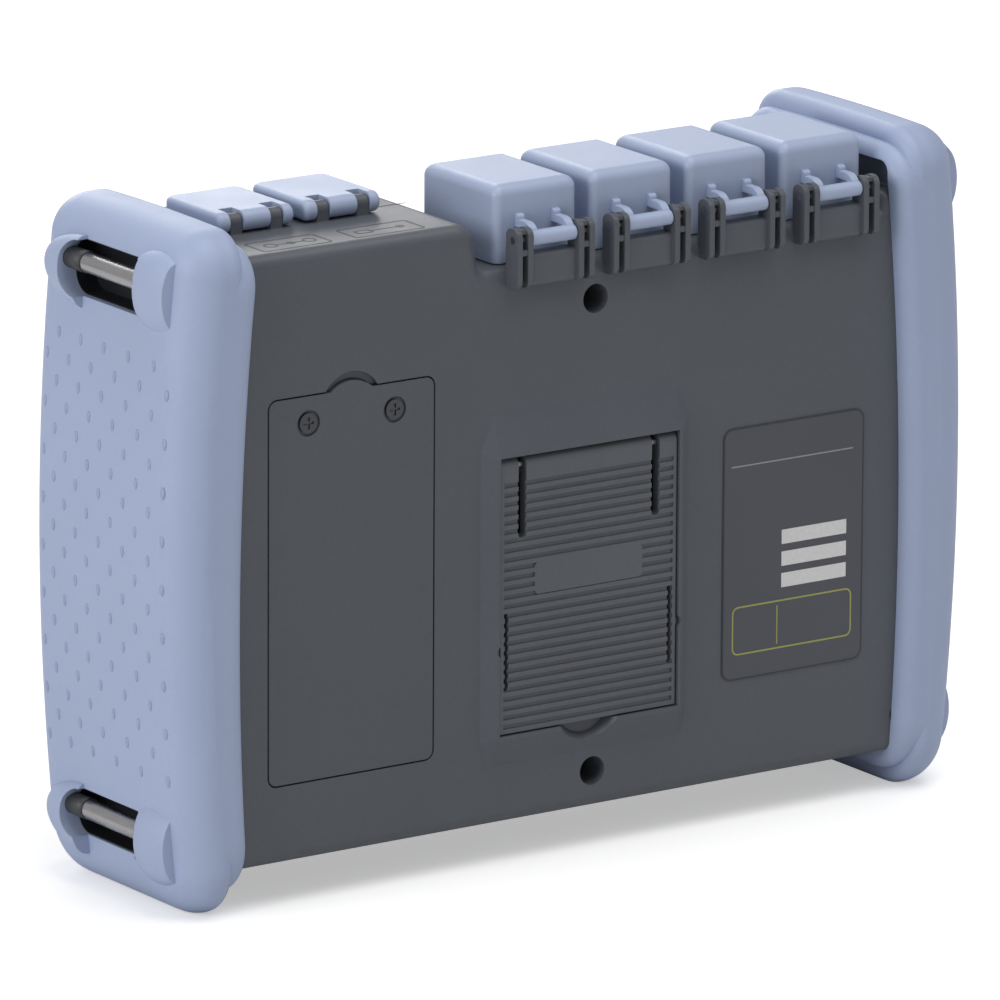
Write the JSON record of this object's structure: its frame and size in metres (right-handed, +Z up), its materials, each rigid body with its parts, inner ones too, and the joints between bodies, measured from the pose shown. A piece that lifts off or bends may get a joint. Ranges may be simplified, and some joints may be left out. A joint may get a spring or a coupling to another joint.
{
  "type": "optical time domain reflectometer",
  "caption": "Handheld optical fibre tester: flat ruggedised case with end bumpers, a folding stand, a battery door, capped optical ports and strap anchors.",
  "frame": {"origin": "centre of the base, on the plane the two bumpers stand on", "axes": "+Z up, -Y towards the screen and the user, +Y towards the back with its stand, X along the width"},
  "size_m": [0.2554, 0.0734, 0.1818],
  "materials": {
    "casing_plastic": "fine-textured dark grey moulding",
    "bumper_rubber": "soft matt blue-grey overmould",
    "cap_rubber": "matt pale blue-grey",
    "stand_plastic": "fine-textured dark grey moulding",
    "pin_steel": "drawn, bright",
    "screw_steel": "plated",
    "adapter_metal": "nickel-plated, satin",
    "sleeve_ceramic": "white ceramic",
    "socket_plastic": "black moulding",
    "socket_metal": "pressed sheet",
    "key_plastic": "satin dark grey",
    "battery_plastic": "black shrink case",
    "label_film": "satin printed film, left blank",
    "gasket_rubber": "black cord",
    "screen_glass": "gloss touch screen",
    "display_metal": "pressed, satin",
    "circuit_board": "green solder mask",
    "lamp_plastic": "clear light guide"
  },
  "bodies": {
    "casing": {"rear_casing": "casing_plastic", "front_casing": "casing_plastic", "left_bumper": "bumper_rubber", "right_bumper": "bumper_rubber", "strap_pins": "pin_steel", "stand_pin": "pin_steel", "optical_adapter_1": "adapter_metal", "optical_adapter_2": "adapter_metal", "optical_adapter_3": "adapter_metal", "optical_adapter_4": "adapter_metal", "port_cap_pins": "pin_steel", "ferrule_sleeves": "sleeve_ceramic", "adapter_screws": "screw_steel", "socket_cap_pins": "pin_steel", "power_jack": "socket_plastic", "data_socket": "socket_metal", "battery_door": "stand_plastic", "door_screws": "screw_steel", "battery_pack": "battery_plastic", "battery_contacts": "socket_plastic", "casing_screws": "screw_steel", "rating_label": "label_film", "seam_gasket": "gasket_rubber", "screen_glass": "screen_glass", "display_panel": "display_metal", "main_board": "circuit_board", "board_standoffs": "screw_steel", "optical_module": "display_metal", "key_board": "circuit_board", "status_lamps": "lamp_plastic"},
    "stand": {"stand_flap": "stand_plastic"},
    "port_cap_1": {"port_cap_1": "cap_rubber"},
    "port_cap_2": {"port_cap_2": "cap_rubber"},
    "port_cap_3": {"port_cap_3": "cap_rubber"},
    "port_cap_4": {"port_cap_4": "cap_rubber"},
    "socket_cap_1": {"socket_cap_1": "cap_rubber"},
    "socket_cap_2": {"socket_cap_2": "cap_rubber"},
    "key_power": {"key_power": "key_plastic"},
    "key_start": {"key_start": "key_plastic"},
    "key_enter": {"key_enter": "key_plastic"},
    "key_up": {"key_up": "key_plastic"},
    "key_down": {"key_down": "key_plastic"},
    "key_left": {"key_left": "key_plastic"},
    "key_right": {"key_right": "key_plastic"},
    "key_menu": {"key_menu": "key_plastic"},
    "key_back": {"key_back": "key_plastic"}
  },
  "joints": [
    {"name": "stand_hinge", "type": "hinge", "parent": "casing", "child": "stand", "pos_m": [-0.0036, 0.031, 0.1076], "axis": [1, 0, 0], "range_deg": [0, 50]},
    {"name": "port_cap_1_hinge", "type": "hinge", "parent": "casing", "child": "port_cap_1", "pos_m": [0.0093, 0.034, 0.1683], "axis": [-1, 0, 0], "range_deg": [0, 130]},
    {"name": "port_cap_2_hinge", "type": "hinge", "parent": "casing", "child": "port_cap_2", "pos_m": [-0.0212, 0.034, 0.1683], "axis": [-1, 0, 0], "range_deg": [0, 130]},
    {"name": "port_cap_3_hinge", "type": "hinge", "parent": "casing", "child": "port_cap_3", "pos_m": [-0.0517, 0.034, 0.1683], "axis": [-1, 0, 0], "range_deg": [0, 130]},
    {"name": "port_cap_4_hinge", "type": "hinge", "parent": "casing", "child": "port_cap_4", "pos_m": [-0.0822, 0.034, 0.1683], "axis": [-1, 0, 0], "range_deg": [0, 130]},
    {"name": "socket_cap_1_hinge", "type": "hinge", "parent": "casing", "child": "socket_cap_1", "pos_m": [0.083, 0.0049, 0.1765], "axis": [-1, 0, 0], "range_deg": [0, 120]},
    {"name": "socket_cap_2_hinge", "type": "hinge", "parent": "casing", "child": "socket_cap_2", "pos_m": [0.0562, 0.0049, 0.1765], "axis": [-1, 0, 0], "range_deg": [0, 120]},
    {"name": "key_power_press", "type": "slide", "parent": "casing", "child": "key_power", "axis": [0, 1, 0], "range_m": [0, 0.0008], "stiffness_N_per_m": 1500},
    {"name": "key_start_press", "type": "slide", "parent": "casing", "child": "key_start", "axis": [0, 1, 0], "range_m": [0, 0.0008], "stiffness_N_per_m": 1500},
    {"name": "key_enter_press", "type": "slide", "parent": "casing", "child": "key_enter", "axis": [0, 1, 0], "range_m": [0, 0.0008], "stiffness_N_per_m": 1500},
    {"name": "key_up_press", "type": "slide", "parent": "casing", "child": "key_up", "axis": [0, 1, 0], "range_m": [0, 0.0008], "stiffness_N_per_m": 1500},
    {"name": "key_down_press", "type": "slide", "parent": "casing", "child": "key_down", "axis": [0, 1, 0], "range_m": [0, 0.0008], "stiffness_N_per_m": 1500},
    {"name": "key_left_press", "type": "slide", "parent": "casing", "child": "key_left", "axis": [0, 1, 0], "range_m": [0, 0.0008], "stiffness_N_per_m": 1500},
    {"name": "key_right_press", "type": "slide", "parent": "casing", "child": "key_right", "axis": [0, 1, 0], "range_m": [0, 0.0008], "stiffness_N_per_m": 1500},
    {"name": "key_menu_press", "type": "slide", "parent": "casing", "child": "key_menu", "axis": [0, 1, 0], "range_m": [0, 0.0008], "stiffness_N_per_m": 1500},
    {"name": "key_back_press", "type": "slide", "parent": "casing", "child": "key_back", "axis": [0, 1, 0], "range_m": [0, 0.0008], "stiffness_N_per_m": 1500}
  ]
}
